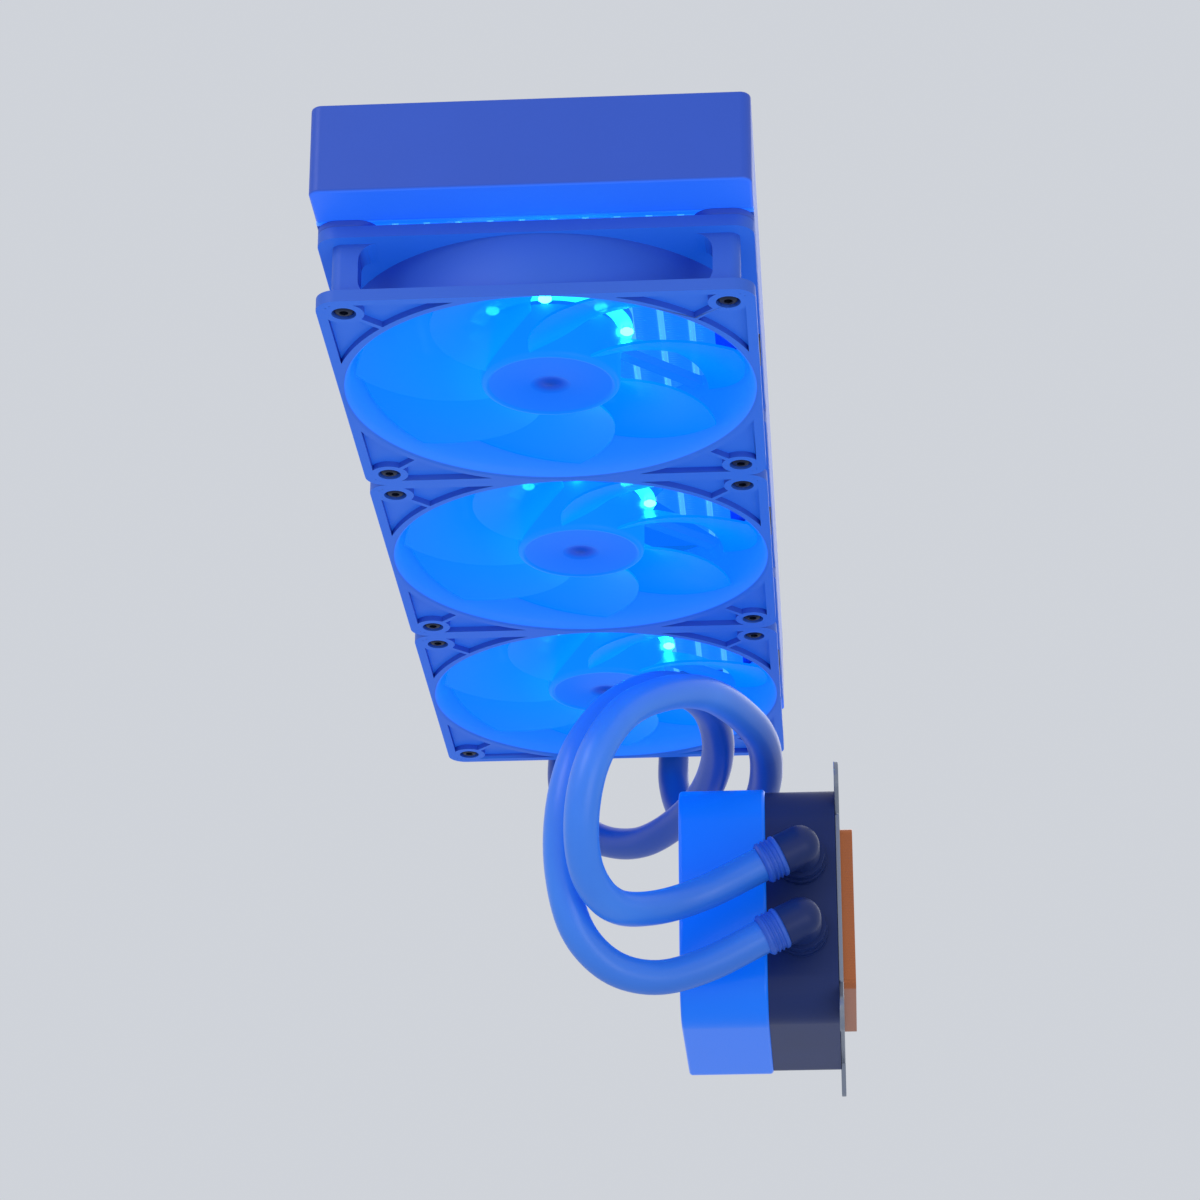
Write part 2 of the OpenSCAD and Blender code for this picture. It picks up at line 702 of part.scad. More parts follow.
module chamber_cover() {
    color("dimgray") in_pump(cover_x) difference() {
        cylinder(r = chamber_r, h = cover_t);
        translate([0, 0, -cut]) cylinder(r = pump_shaft_r, h = cover_t + 2 * cut);
        for (turn = [0 : 3]) rotate(turn * 90)
            translate([8, 0, -cut]) cylinder(r = 3, h = cover_t + 2 * cut);
    }
}

module pump_shaft() {
    color("ivory") in_pump(can_x + can_wall)
        cylinder(r = pump_shaft_r, h = cover_x + cover_t - can_x - can_wall);
}

impeller_r = chamber_r - 3;
impeller_x = chamber_x + 1.5;
magnet_x = can_x + can_wall + 2.5;

module pump_impeller() {
    vane_h = cover_x - impeller_x - 3.5;
    color("white") difference() {
        union() {
            in_pump(impeller_x) cylinder(r = impeller_r, h = 1.5);
            in_pump(impeller_x - 2) cylinder(r = 6, h = vane_h + 3.5);
            in_pump(impeller_x + 1) for (i = [0 : 5]) rotate(i * 60)
                translate([4, -0.75, 0]) cube([impeller_r - 5, 1.5, vane_h]);
        }
        in_pump(can_x) cylinder(r = pump_shaft_r + running_gap, h = cover_x - can_x);
    }
}

module pump_magnet() {
    color("#303338") in_pump(magnet_x)
        ring(can_r - can_wall - rotor_clear, pump_shaft_r + running_gap, impeller_x - 2 - magnet_x);
}

module pump_seal() {
    color("#101010") in_pump(body_end_x - 1.5) ring(chamber_r + 3.5, chamber_r + 1.5, 1.5);
}

module cold_plate() {
    fin_len = 24;
    color("peru") {
        difference() {
            in_pump(body_end_x) linear_extrude(plate_t) rounded_rect(plate_size, plate_size, 3);
            in_pump(body_end_x - cut) at_plate_screws() cylinder(r = 1.25, h = plate_t + 2 * cut);
            in_pump(plate_x - 1.5) at_plate_screws() cylinder(r = 2.4, h = 1.5 + cut);
        }
        for (i = [-6 : 6]) in_pump(body_end_x - 3)
            translate([i * 1.8 - 0.4, -fin_len / 2, 0]) cube([0.8, fin_len, 3.5]);
    }
}

module cold_plate_screws() {
    color("silver") at_screw_depth() {
        translate([0, 0, plate_t - 1.5]) cylinder(r = 2.3, h = 1.2);
        translate([0, 0, -6]) cylinder(r = 1.25, h = plate_t + 4.5);
    }
}

module at_screw_depth() {
    in_pump(body_end_x) at_plate_screws() children();
}

module pump_bracket() {
    half = bracket_spacing / 2;
    color("gray") in_pump(body_end_x) difference() {
        linear_extrude(bracket_t) {
            rounded_rect(pump_size - 6, pump_size - 6, pump_corner - 3);
            for (turn = [0 : 3]) rotate(45 + turn * 90) {
                translate([0, -6]) square([half * sqrt(2), 12]);
                translate([half * sqrt(2), 0]) circle(6);
            }
        }
        translate([0, 0, -cut]) linear_extrude(bracket_t + 2 * cut)
            rounded_rect(plate_size + 0.4, plate_size + 0.4, 3.2);
        for (x = [-half, half], y = [-half, half]) translate([x, y, -cut])
            cylinder(r = 2.2, h = bracket_t + 2 * cut);
    }
}

module elbow(side) {
    neck_r = 6.5;
    color("#2a2c30") at_elbow(side) {
        rotate([-90, 0, 0]) {
            cylinder(r = neck_r, h = elbow_reach - 4);
            translate([0, 0, elbow_reach - 5]) cylinder(r = neck_r + 1.5, h = 3.5, $fn = 12);
            translate([0, 0, elbow_reach - 5]) cylinder(r = port_r, h = 9);
        }
        sphere(r = neck_r);
        along_arm() {
            cylinder(r = neck_r, h = arm_len - collar_len);
            cylinder(r = barb_r, h = arm_len);
        }
    }
}

module elbow_upper() { elbow(1); }
module elbow_lower() { elbow(-1); }

side_rail_left();
side_rail_right();
flat_tubes();
fin_strips();
header_front();
header_rear();
end_tank_front();
end_tank_rear();
tank_baffle();
fill_plug();
fill_plug_seal();
tank_barbs();
fan_screws();
fan_frame_front();
fan_frame_middle();
fan_frame_rear();
fan_rotor_front();
fan_rotor_middle();
fan_rotor_rear();
fan_shaft_front();
fan_shaft_middle();
fan_shaft_rear();
fan_magnet_front();
fan_magnet_middle();
fan_magnet_rear();
fan_stator_front();
fan_stator_middle();
fan_stator_rear();
fan_bearing_front();
fan_bearing_middle();
fan_bearing_rear();
fan_led_ring_front();
fan_led_ring_middle();
fan_led_ring_rear();
corner_pads_front();
corner_pads_middle();
corner_pads_rear();
lead_sockets();
hose_supply();
hose_return();
hose_ferrules();
pump_cap();
pump_window();
pump_circuit_board();
pump_stator();
pump_body();
chamber_cover();
pump_shaft();
pump_impeller();
pump_magnet();
pump_seal();
cold_plate();
cold_plate_screws();
pump_bracket();
elbow_upper();
elbow_lower();
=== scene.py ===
import json
import math
import bmesh
import bpy
from mathutils import Matrix, Vector


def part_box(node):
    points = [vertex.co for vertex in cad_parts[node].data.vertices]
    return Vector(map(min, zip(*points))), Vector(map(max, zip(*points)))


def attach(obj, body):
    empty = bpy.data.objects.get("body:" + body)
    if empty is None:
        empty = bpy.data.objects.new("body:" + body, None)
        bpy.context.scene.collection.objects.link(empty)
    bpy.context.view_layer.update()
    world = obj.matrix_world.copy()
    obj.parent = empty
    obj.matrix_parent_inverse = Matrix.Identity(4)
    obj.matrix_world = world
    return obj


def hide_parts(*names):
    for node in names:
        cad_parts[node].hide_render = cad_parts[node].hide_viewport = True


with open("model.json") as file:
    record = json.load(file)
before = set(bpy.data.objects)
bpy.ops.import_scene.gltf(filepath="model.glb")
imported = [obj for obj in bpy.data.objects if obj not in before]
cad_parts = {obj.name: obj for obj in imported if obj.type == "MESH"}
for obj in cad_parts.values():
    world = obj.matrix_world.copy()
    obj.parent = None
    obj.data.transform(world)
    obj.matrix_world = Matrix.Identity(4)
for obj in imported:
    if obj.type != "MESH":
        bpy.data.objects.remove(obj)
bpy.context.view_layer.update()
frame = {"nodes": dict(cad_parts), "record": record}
nodes = frame["nodes"]
MM = 0.001


# ---- Studio: the cooler hangs in the air as it does under a case roof, over a pale
# matt floor, and the camera looks up at the fans' intake side from in front.

def linear(hex_colour):
    """An sRGB hex colour as linear RGBA."""
    parts = [int(hex_colour[i:i + 2], 16) / 255 for i in (1, 3, 5)]
    return [c / 12.92 if c <= 0.04045 else ((c + 0.055) / 1.055) ** 2.4 for c in parts] + [1.0]


def add_node(tree, kind, values=None, links=None, **settings):
    """One node with its settings, its input values and the outputs linked into it."""
    node = tree.nodes.new(kind)
    for key, value in settings.items():
        setattr(node, key, value)
    for socket, value in (values or {}).items():
        node.inputs[socket].default_value = value
    for socket, output in (links or {}).items():
        tree.links.new(output, node.inputs[socket])
    return node


def aim(thing, place, target):
    """Puts a camera or lamp at a place, looking at its target."""
    thing.location = place
    thing.rotation_euler = (Vector(target) - Vector(place)).to_track_quat("-Z", "Y").to_euler()
    bpy.context.scene.collection.objects.link(thing)


camera_place = (0.0784, -1.075, -0.519)
view_target = (0.006, 0.0, -0.066)
camera_data = bpy.data.cameras.new("camera")
camera_data.lens = 112
camera = bpy.data.objects.new("camera", camera_data)
aim(camera, camera_place, view_target)
bpy.context.scene.camera = camera
bpy.context.scene.view_settings.view_transform = "Standard"

floor_size = 6.0
floor_drop = 0.8
floor_mesh = bpy.data.meshes.new("studio_floor")
floor_mesh.from_pydata([(x * floor_size, y * floor_size, -floor_drop)
                        for x, y in ((-1, -1), (1, -1), (1, 1), (-1, 1))], [], [(0, 1, 2, 3)])
floor = bpy.data.objects.new("studio_floor", floor_mesh)
bpy.context.scene.collection.objects.link(floor)
floor_paint = bpy.data.materials.new("matt_floor_paint")
floor_paint.use_nodes = True
floor_bsdf = floor_paint.node_tree.nodes["Principled BSDF"]
floor_bsdf.inputs["Base Color"].default_value = linear("#DADDE2")
floor_bsdf.inputs["Roughness"].default_value = 0.9
floor_mesh.materials.append(floor_paint)

world = bpy.data.worlds.new("studio")
world.use_nodes = True
world.node_tree.nodes["Background"].inputs["Color"].default_value = linear("#DFE3EA")
world.node_tree.nodes["Background"].inputs["Strength"].default_value = 0.85
bpy.context.scene.world = world
lamp_target = (0, 0, -0.08)
for lamp_name, lamp_place, lamp_side, lamp_power in (
        ("key_softbox", (-0.9, -1.3, 0.5), 0.9, 6.0),
        ("low_softbox", (0.7, -0.9, -0.7), 0.8, 3.0),
        ("back_softbox", (0.5, 1.4, 0.7), 0.9, 3.0)):
    lamp_data = bpy.data.lights.new(lamp_name, "AREA")
    lamp_data.size = lamp_side
    lamp_data.energy = lamp_power
    aim(bpy.data.objects.new(lamp_name, lamp_data), lamp_place, lamp_target)


# ---- Hoses: smooth rubber hoses, 11 mm across, clamped on the pump's elbows and the
# radiator's barbs. They leave the elbows, loop up in front of the rear fan and run
# back over the pump head to the rear end tank.

mottle_width = 1 / 45  # in m, about 22 mm
rough_swing = 0.06


def finish(name, colour, roughness, grain=0.6, bump=0.02, mottle=0.06, metallic=0.0, colour_2=None,
           gloss=0.5):
    """A material with fine grain (its size and depth in mm) and a little broad mottling.
    Returns the material, its tree, its shader and its Object coordinates."""
    made = bpy.data.materials.new(name)
    made.use_nodes = True
    tree = made.node_tree
    shader = tree.nodes["Principled BSDF"]
    shader.inputs["Metallic"].default_value = metallic
    shader.inputs["Specular IOR Level"].default_value = gloss
    place = add_node(tree, "ShaderNodeTexCoord").outputs["Object"]
    broad = add_node(tree, "ShaderNodeTexNoise", {"Scale": 1 / mottle_width, "Detail": 3.0},
                     {"Vector": place})
    fine = add_node(tree, "ShaderNodeTexNoise", {"Scale": 1 / (grain * MM), "Detail": 2.0},
                    {"Vector": place})
    low = linear(colour_2 or colour)
    if not colour_2:
        low = [c * (1 - 2.2 * mottle) for c in low[:3]] + [1]
    tint = add_node(tree, "ShaderNodeMix", {"A": low, "B": linear(colour)},
                    {"Factor": broad.outputs["Fac"]}, data_type="RGBA")
    tree.links.new(tint.outputs["Result"], shader.inputs["Base Color"])
    rough = add_node(tree, "ShaderNodeMapRange",
                     {"To Min": roughness - rough_swing, "To Max": roughness + rough_swing},
                     {"Value": fine.outputs["Fac"]})
    tree.links.new(rough.outputs["Result"], shader.inputs["Roughness"])
    relief = add_node(tree, "ShaderNodeBump", {"Strength": 0.6, "Distance": bump * MM},
                      {"Height": fine.outputs["Fac"]})
    tree.links.new(relief.outputs["Normal"], shader.inputs["Normal"])
    return made, tree, shader, place


def smooth_path(points, steps=8):
    """Points on a smooth curve through a route, with steps to each span."""
    route = [Vector(p) for p in points]
    route = [2 * route[0] - route[1]] + route + [2 * route[-1] - route[-2]]
    path = []
    for p0, p1, p2, p3 in zip(route, route[1:], route[2:], route[3:]):
        for k in range(steps):
            t = k / steps
            path.append(0.5 * (2 * p1 + (p2 - p0) * t + (2 * p0 - 5 * p1 + 4 * p2 - p3) * t ** 2
                               + (3 * p1 - p0 - 3 * p2 + p3) * t ** 3))
    return path + [route[-2]]


hose_d = 11 * MM
supply_route = [
    (54, 51, -137), (36, 51, -146), (20, 44, -153), (8, 31, -156), (1, 17, -150), (0, 4, -137),
    (4, -2, -120), (13, 1, -104), (25, 13, -93), (37, 31, -86), (47, 53, -84), (54, 76, -85),
    (55, 101, -88), (51, 126, -91), (43, 149, -91), (33, 168, -85), (24, 184, -73), (20, 190, -59),
    (20, 190, -46)]
return_route = [
    (54, 51, -161), (36, 51, -170), (20, 50, -174), (6, 46, -171), (-4, 38, -161), (-8, 29, -144),
    (-7, 22, -126), (-2, 21, -108), (8, 27, -92), (20, 39, -81), (30, 57, -75), (37, 78, -74),
    (39, 101, -78), (35, 124, -83), (25, 146, -87), (10, 165, -89), (-5, 180, -83),
    (-16, 188, -72), (-20, 190, -58), (-20, 190, -46)]

# Extruded rubber, satin and finely grained: it gives a long soft highlight along the
# outside of each bend. The rubber is white; its blue is the fans' light, painted on.
hose_rubber, hose_tree, hose_shader, hose_place = finish(
    "satin_extruded_rubber", "#3F8CF4", 0.38, grain=1.2, bump=0.03, colour_2="#357CE6")
# Painted shade: towards the back, away from the fans' light, the rubber is painted darker.
painted_shade_start_y = 30 * MM
painted_shade_full_y = 85 * MM
depth = add_node(hose_tree, "ShaderNodeSeparateXYZ", {}, {0: hose_place}).outputs["Y"]
shade = add_node(hose_tree, "ShaderNodeMapRange", {"From Min": painted_shade_start_y, "From Max": painted_shade_full_y},
                 {"Value": depth})
front_colour = hose_shader.inputs["Base Color"].links[0].from_socket
painted_shade_mix = add_node(hose_tree, "ShaderNodeMix", {"B": linear("#143C98")},
                    {"Factor": shade.outputs["Result"], "A": front_colour}, data_type="RGBA")
hose_tree.links.new(painted_shade_mix.outputs["Result"], hose_shader.inputs["Base Color"])
# Painted light: a faint azure glow for the fans' light on the rubber.
hose_shader.inputs["Emission Color"].default_value = linear("#0470F0")
hose_shader.inputs["Emission Strength"].default_value = 0.12
hose_shader.inputs["Coat Weight"].default_value = 0.25
hose_shader.inputs["Coat Roughness"].default_value = 0.3

for hose_name, hose_route in (("hose_supply", supply_route), ("hose_return", return_route)):
    path = smooth_path([[c * MM for c in p] for p in hose_route])
    curve = bpy.data.curves.new(hose_name + "_tube", "CURVE")
    curve.dimensions = "3D"
    curve.bevel_depth = hose_d / 2
    curve.bevel_resolution = 8
    curve.use_fill_caps = True
    spline = curve.splines.new("POLY")
    spline.points.add(len(path) - 1)
    for point, place in zip(spline.points, path):
        point.co = (*place, 1)
    spline.use_smooth = True
    curve.materials.append(hose_rubber)
    hose = bpy.data.objects.new(hose_name + "_tube", curve)
    bpy.context.scene.collection.objects.link(hose)
    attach(hose, "cooler")
    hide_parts(hose_name)


# ---- Hose sleeves: moulded collars crimped over the four hose ends, with three
# pressed grooves each. They sit against the elbows and the radiator's barbs.

def piece_from(name, bm, material, sharp=40.0):
    """A smooth-shaded object from bmesh data, with edges over the angle kept sharp."""
    mesh = bpy.data.meshes.new(name)
    bm.to_mesh(mesh)
    bm.free()
    mesh.materials.append(material)
    mesh.shade_smooth()
    mesh.set_sharp_from_angle(angle=math.radians(sharp))
    made = bpy.data.objects.new(name, mesh)
    bpy.context.scene.collection.objects.link(made)
    return made


def lathe(bm, profile, place=Matrix(), steps=64, closed=False):
    """Turns (radius, height) points in mm round local Z. A third value of 6 makes that ring a
    hexagon, its radius measured to its flats. Ends on the axis close in a point."""
    rings = []
    for radius, height, *sides in profile:
        ring = []
        for k in range(1 if radius == 0 else steps):
            turn = 2 * math.pi * k / steps
            r = radius
            if sides:
                sector = math.pi / sides[0]
                r = radius / math.cos((turn + sector) % (2 * sector) - sector)
            point = Vector((r * math.cos(turn), r * math.sin(turn), height))
            ring.append(bm.verts.new(place @ point * MM))
        rings.append(ring)
    pairs = list(zip(rings, rings[1:])) + ([(rings[-1], rings[0])] if closed else [])
    faces = []
    for low, high in pairs:
        for k in range(steps):
            corners = [low[k % len(low)], low[(k + 1) % len(low)],
                       high[(k + 1) % len(high)], high[k % len(high)]]
            corners = list(dict.fromkeys(corners))
            if len(corners) > 2:
                faces.append(bm.faces.new(corners))
    bmesh.ops.recalc_face_normals(bm, faces=faces)


arm = Vector((-12, 0, -6))
elbow_places = [Vector((66, 51, z)) for z in (-131, -155)]
barb_places = [Vector((x, 190, -27)) for x in (-20, 20)]
arm_turn = arm.to_track_quat("Z", "Y").to_matrix().to_4x4()
down_turn = Matrix.Rotation(math.pi, 4, "X")
sleeve_bore = 4.0
sleeve_r = 6.8
elbow_grip = 7.0
barb_hex_end = 7.5
barb_end = 19.0


def sleeve_profile(start, end):
    """A sleeve's section between two heights in mm, with its three pressed grooves."""
    points = [(sleeve_bore, start), (sleeve_r - 0.6, start), (sleeve_r, start + 0.6)]
    for k in range(3):
        groove = start + (end - start) * (0.3 + 0.2 * k)
        points += [(sleeve_r, groove - 0.6), (sleeve_r - 0.5, groove - 0.3),
                   (sleeve_r - 0.5, groove + 0.3), (sleeve_r, groove + 0.6)]
    return points + [(sleeve_r, end - 0.8), (sleeve_r - 0.8, end), (sleeve_bore, end)]


# Moulded nylon, satin and a shade darker than the hose.
sleeve_nylon = finish("satin_moulded_nylon", "#2F66D8", 0.42, grain=0.5)[0]
bm = bmesh.new()
for elbow in elbow_places:
    lathe(bm, sleeve_profile(arm.length - elbow_grip, arm.length),
          Matrix.Translation(elbow) @ arm_turn, closed=True)
for barb in barb_places:
    lathe(bm, sleeve_profile(barb_hex_end, barb_end), Matrix.Translation(barb) @ down_turn, closed=True)
sleeves = piece_from("hose_sleeves", bm, sleeve_nylon)
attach(sleeves, "cooler")
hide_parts("hose_ferrules")


# ---- Side rails and end tanks: folded and pressed aluminium sheet, brazed to the core
# and powder coated all over. Folds and pressed edges are slightly round.

down_facing = (-0.3, -0.9)
weld_gap = 0.002 * MM


def caught_light(tree, colour, strength, band=None):
    """Light from the fans that a surface has caught, as a glow of its own colour. It lies on
    faces that look down or, given a band of two heights in m, low on the piece."""
    if band:
        source = add_node(tree, "ShaderNodeTexCoord").outputs["Object"]
    else:
        source = add_node(tree, "ShaderNodeNewGeometry").outputs["Normal"]
    start, end = band or down_facing
    height = add_node(tree, "ShaderNodeSeparateXYZ", {}, {0: source}).outputs["Z"]
    share = add_node(tree, "ShaderNodeMapRange", {"From Min": start, "From Max": end, "To Max": strength},
                     {"Value": height})
    shader = tree.nodes["Principled BSDF"]
    tree.links.new(share.outputs["Result"], shader.inputs["Emission Strength"])
    shader.inputs["Emission Color"].default_value = linear(colour)


def baked(piece):
    """Turns a piece's modifiers into plain mesh and takes them off it."""
    graph = bpy.context.evaluated_depsgraph_get()
    graph.update()
    plain = bpy.data.meshes.new_from_object(piece.evaluated_get(graph), depsgraph=graph)
    piece.modifiers.clear()
    piece.data = plain
    return piece


def softened(node, material, width, sharp=35.0, segments=2):
    """A copy of a CAD node whose hard edges are rounded by width (mm), in a given finish."""
    bm = bmesh.new()
    bm.from_mesh(nodes[node].data)
    bmesh.ops.remove_doubles(bm, verts=bm.verts, dist=weld_gap)
    bmesh.ops.dissolve_limit(bm, angle_limit=math.radians(1.0), verts=bm.verts, edges=bm.edges)
    made = piece_from(node + "_shell", bm, material, 60)
    bevel = made.modifiers.new("edges", "BEVEL")
    bevel.width = width * MM
    bevel.segments = segments
    bevel.limit_method = "ANGLE"
    bevel.angle_limit = math.radians(sharp)
    bevel.use_clamp_overlap = True
    made.modifiers.new("normals", "WEIGHTED_NORMAL").keep_sharp = True
    made = baked(made)
    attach(made, body_of[node])
    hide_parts(node)


body_of = {node: body for body, members in frame["record"]["behaviour"]["bodies"].items()
           for node in members}

# Powder coat: an even satin skin with the slight orange peel of baked powder, which
# breaks up the highlight at about 1.5 mm. The coat is white; its blue is the fans' light,
# painted on, and the rails get a lighter painted copy. The tanks' undersides catch the
# fans' light as a painted glow.
powder_coat, coat_tree, _, _ = finish("satin_powder_coat", "#2656CC", 0.45, grain=1.5, bump=0.035,
                                      mottle=0.03)
caught_light(coat_tree, "#1C6CF4", 0.62)
# Painted light: the rails' copy of the coat is painted lighter, as lit by the fans.
rail_coat_painted_lighter = finish("satin_powder_coat_rail", "#3C6FE0", 0.45, grain=1.5, bump=0.035, mottle=0.03)[0]
for rail in ("side_rail_left", "side_rail_right"):
    softened(rail, rail_coat_painted_lighter, 0.35)
for tank in ("end_tank_front", "end_tank_rear"):
    softened(tank, powder_coat, 0.9, segments=3)


# ---- Core: header plates, extruded flat tubes and folded fin strips, brazed together
# from bare aluminium sheet. The fins are 0.12 mm sheet folded at 1.4 mm.

def repeat(piece, material, count, step=(0.0, 0.0, 0.0), turn=0.0):
    """Repeats a piece count times with Geometry Nodes, each copy moved by step (m) and
    turned about Z by turn (radians) from the one before."""
    tree = bpy.data.node_groups.new(piece.name + "_repeat", "GeometryNodeTree")
    sockets = {}
    for label, kind in (("Geometry", "Geometry"), ("Count", "Int"), ("Step", "Vector"), ("Turn", "Float")):
        sockets[label] = tree.interface.new_socket(label, in_out="INPUT", socket_type="NodeSocket" + kind)
    tree.interface.new_socket("Geometry", in_out="OUTPUT", socket_type="NodeSocketGeometry")
    given = add_node(tree, "NodeGroupInput").outputs
    line = add_node(tree, "GeometryNodeMeshLine", {}, {"Count": given["Count"], "Offset": given["Step"]})
    index = add_node(tree, "GeometryNodeInputIndex")
    angle = add_node(tree, "ShaderNodeMath", {}, {0: index.outputs[0], 1: given["Turn"]},
                     operation="MULTIPLY")
    turned = add_node(tree, "ShaderNodeCombineXYZ", {}, {"Z": angle.outputs[0]})
    copies = add_node(tree, "GeometryNodeInstanceOnPoints", {}, {
        "Points": line.outputs["Mesh"], "Instance": given["Geometry"], "Rotation": turned.outputs[0]})
    real = add_node(tree, "GeometryNodeRealizeInstances", {}, {"Geometry": copies.outputs[0]})
    painted = add_node(tree, "GeometryNodeSetMaterial", {"Material": material},
                       {"Geometry": real.outputs[0]})
    add_node(tree, "NodeGroupOutput", {}, {"Geometry": painted.outputs[0]})
    modifier = piece.modifiers.new("repeat", "NODES")
    modifier.node_group = tree
    for label, value in (("Count", count), ("Step", step), ("Turn", turn)):
        modifier[sockets[label].identifier] = value
    return baked(piece)


def moved(piece, place):
    """Moves a piece's mesh by place (m); its object stays at the origin."""
    piece.data.transform(Matrix.Translation(Vector(place)))
    return piece


def coat(node, material):
    """Gives a CAD node one material in place of its own."""
    nodes[node].data.materials.clear()
    nodes[node].data.materials.append(material)


# Brazed mill-finish aluminium: bright and slightly grey, with the fans' blue light painted
# into its colour. The drawn tubes are brighter than the fins, and the lower edges of both
# catch the fans' light as a painted glow.
core_low_edge = (-19 * MM, -22.5 * MM)
brazed, brazed_tree, _, _ = finish("brazed_aluminium", "#9DB8EC", 0.38, grain=0.8, bump=0.02,
                                   metallic=1.0, colour_2="#7F9FE0")
caught_light(brazed_tree, "#1478FA", 0.8, core_low_edge)
drawn, drawn_tree, _, _ = finish("drawn_aluminium_tube", "#B4CCF4", 0.34, grain=0.8, bump=0.02,
                                 metallic=1.0, colour_2="#93B2EC")
caught_light(drawn_tree, "#4FB2FF", 0.9, core_low_edge)
for plate in ("header_front", "header_rear", "tank_baffle"):
    coat(plate, brazed)

tubes_low, tubes_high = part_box("flat_tubes")
tube_count = 12
tube_pitch = 8.8 * MM
tube_t = 2 * MM
tube_r = tube_t / 2
edge_steps = 6
tube_first = tubes_low.x + tube_r
bm = bmesh.new()
outline = []
for centre_z, start in ((tubes_high.z - tube_r, 0.0), (tubes_low.z + tube_r, math.pi)):
    for k in range(edge_steps + 1):
        turn = start + math.pi * k / edge_steps
        outline.append((tube_r * math.cos(turn), centre_z + tube_r * math.sin(turn)))
ends = [[bm.verts.new((x, y, z)) for x, z in outline] for y in (tubes_low.y, tubes_high.y)]
for k in range(len(outline)):
    n = (k + 1) % len(outline)
    bm.faces.new((ends[0][k], ends[0][n], ends[1][n], ends[1][k]))
for end in ends:
    bm.faces.new(end)
bmesh.ops.recalc_face_normals(bm, faces=bm.faces)
tubes = moved(piece_from("flat_tubes_extruded", bm, drawn), (tube_first, 0, 0))
tubes = repeat(tubes, drawn, tube_count, (tube_pitch, 0, 0))
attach(tubes, "cooler")
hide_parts("flat_tubes")

fins_low, fins_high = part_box("fin_strips")
fin_pitch = 1.4 * MM
fin_sheet = 0.12 * MM
fin_half = (tube_pitch - tube_t) / 2
crest = 0.2 * MM
fold_line = [(-fin_half, 0.0), (-fin_half, crest), (fin_half, fin_pitch / 2),
             (fin_half, fin_pitch / 2 + crest), (-fin_half, fin_pitch)]
fin_folds = int((fins_high.y - fins_low.y - fin_sheet) / fin_pitch)
bm = bmesh.new()
sheets = [[[bm.verts.new((x, y + offset, z)) for x, y in fold_line] for z in (fins_low.z, fins_high.z)]
          for offset in (0.0, fin_sheet)]
for k in range(len(fold_line) - 1):
    for (low, high), flip in ((sheets[0], False), (sheets[1], True)):
        quad = (low[k], low[k + 1], high[k + 1], high[k])
        bm.faces.new(quad[::-1] if flip else quad)
    for level, flip in ((0, True), (1, False)):
        near, far = (sheet[level][k:k + 2] for sheet in sheets)
        quad = (near[0], near[1], far[1], far[0])
        bm.faces.new(quad[::-1] if flip else quad)
fins = piece_from("folded_fins", bm, brazed, 20)
moved(fins, (fins_low.x + fin_half, fins_low.y, 0))
fins = repeat(fins, brazed, fin_folds, (0, fin_pitch, 0))
bm = bmesh.new()
bm.from_mesh(fins.data)
bmesh.ops.remove_doubles(bm, verts=bm.verts, dist=weld_gap)
bm.to_mesh(fins.data)
bm.free()
fins = repeat(fins, brazed, tube_count - 1, (tube_pitch, 0, 0))
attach(fins, "cooler")
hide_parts("fin_strips")


# ---- Ports and fill plug: turned brass, nickel plated. Each barb has a flange, a hexagon
# for the spanner and a nipple under its sleeve; the plug seals on a rubber washer.

# Nickel plate: bright, with a very fine even grain.
nickel = finish("nickel_plated_brass", "#B9BCC2", 0.24, grain=0.3, bump=0.01, metallic=1.0,
                colour_2="#9EA2AA")[0]
bm = bmesh.new()
barb_profile = [
    (0, -2.5), (4, -2.5), (4, 0), (7.6, 0), (8, 0.4), (8, 2.1), (7.6, 2.5), (7.0, 2.5, 6), (7.4, 3.0, 6),
    (7.4, barb_hex_end - 0.5, 6), (7.0, barb_hex_end, 6), (4, barb_hex_end), (4, barb_end - 0.4),
    (3.6, barb_end), (0, barb_end)]
for barb in barb_places:
    lathe(bm, barb_profile, Matrix.Translation(barb) @ down_turn, steps=72)
barbs = piece_from("port_barbs", bm, nickel, 30)
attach(barbs, "cooler")
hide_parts("tank_barbs")

plug_place = Vector((36, 201, -13.5))
bm = bmesh.new()
lathe(bm, [(0, -3.5), (5, -3.5), (5, 1), (7.2, 1), (7.5, 1.3), (7.5, 3.1), (7.1, 3.5), (2.7, 3.5, 6),
           (2.5, 3.3, 6), (2.5, 2, 6), (0, 2)],
      Matrix.Translation(plug_place) @ Matrix.Rotation(-math.pi / 2, 4, "X"), steps=72)
plug = piece_from("fill_plug_turned", bm, nickel, 30)
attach(plug, "cooler")
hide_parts("fill_plug")

# Black nitrile: matt, with a faint mould texture.
nitrile = finish("black_nitrile_rubber", "#17181A", 0.7, grain=0.4)[0]
for seal in ("fill_plug_seal", "pump_seal"):
    coat(seal, nitrile)


# ---- Fan frames: one moulding each of white plastic, with flanges, duct, struts and
# motor base. Fine spark texture outside; the blue of the fan's own lights is painted into it.

# Injection moulded PBT: satin, with a spark-eroded grain of about 0.35 mm. Its blue base
# colour is painted light. Round each duct the wall has a painted azure glow; elsewhere only
# the faces that look down get some of the painted light.
frame_plastic, frame_tree, frame_shader, frame_place = finish(
    "spark_textured_pbt", "#3A6CDA", 0.5, grain=0.35, bump=0.03, mottle=0.04, gloss=0.3)
bay_pitch = 120 * MM
duct_glow_r = 58.7 * MM
painted_duct_glow_strength = 0.8
painted_face_glow_strength = 0.28


def outward(tree, vector, across):
    """The length of a vector on the axes where across is 1."""
    flat = add_node(tree, "ShaderNodeVectorMath", {1: across}, {0: vector}, operation="MULTIPLY")
    return add_node(tree, "ShaderNodeVectorMath", {}, {0: flat.outputs[0]},
                    operation="LENGTH").outputs["Value"]


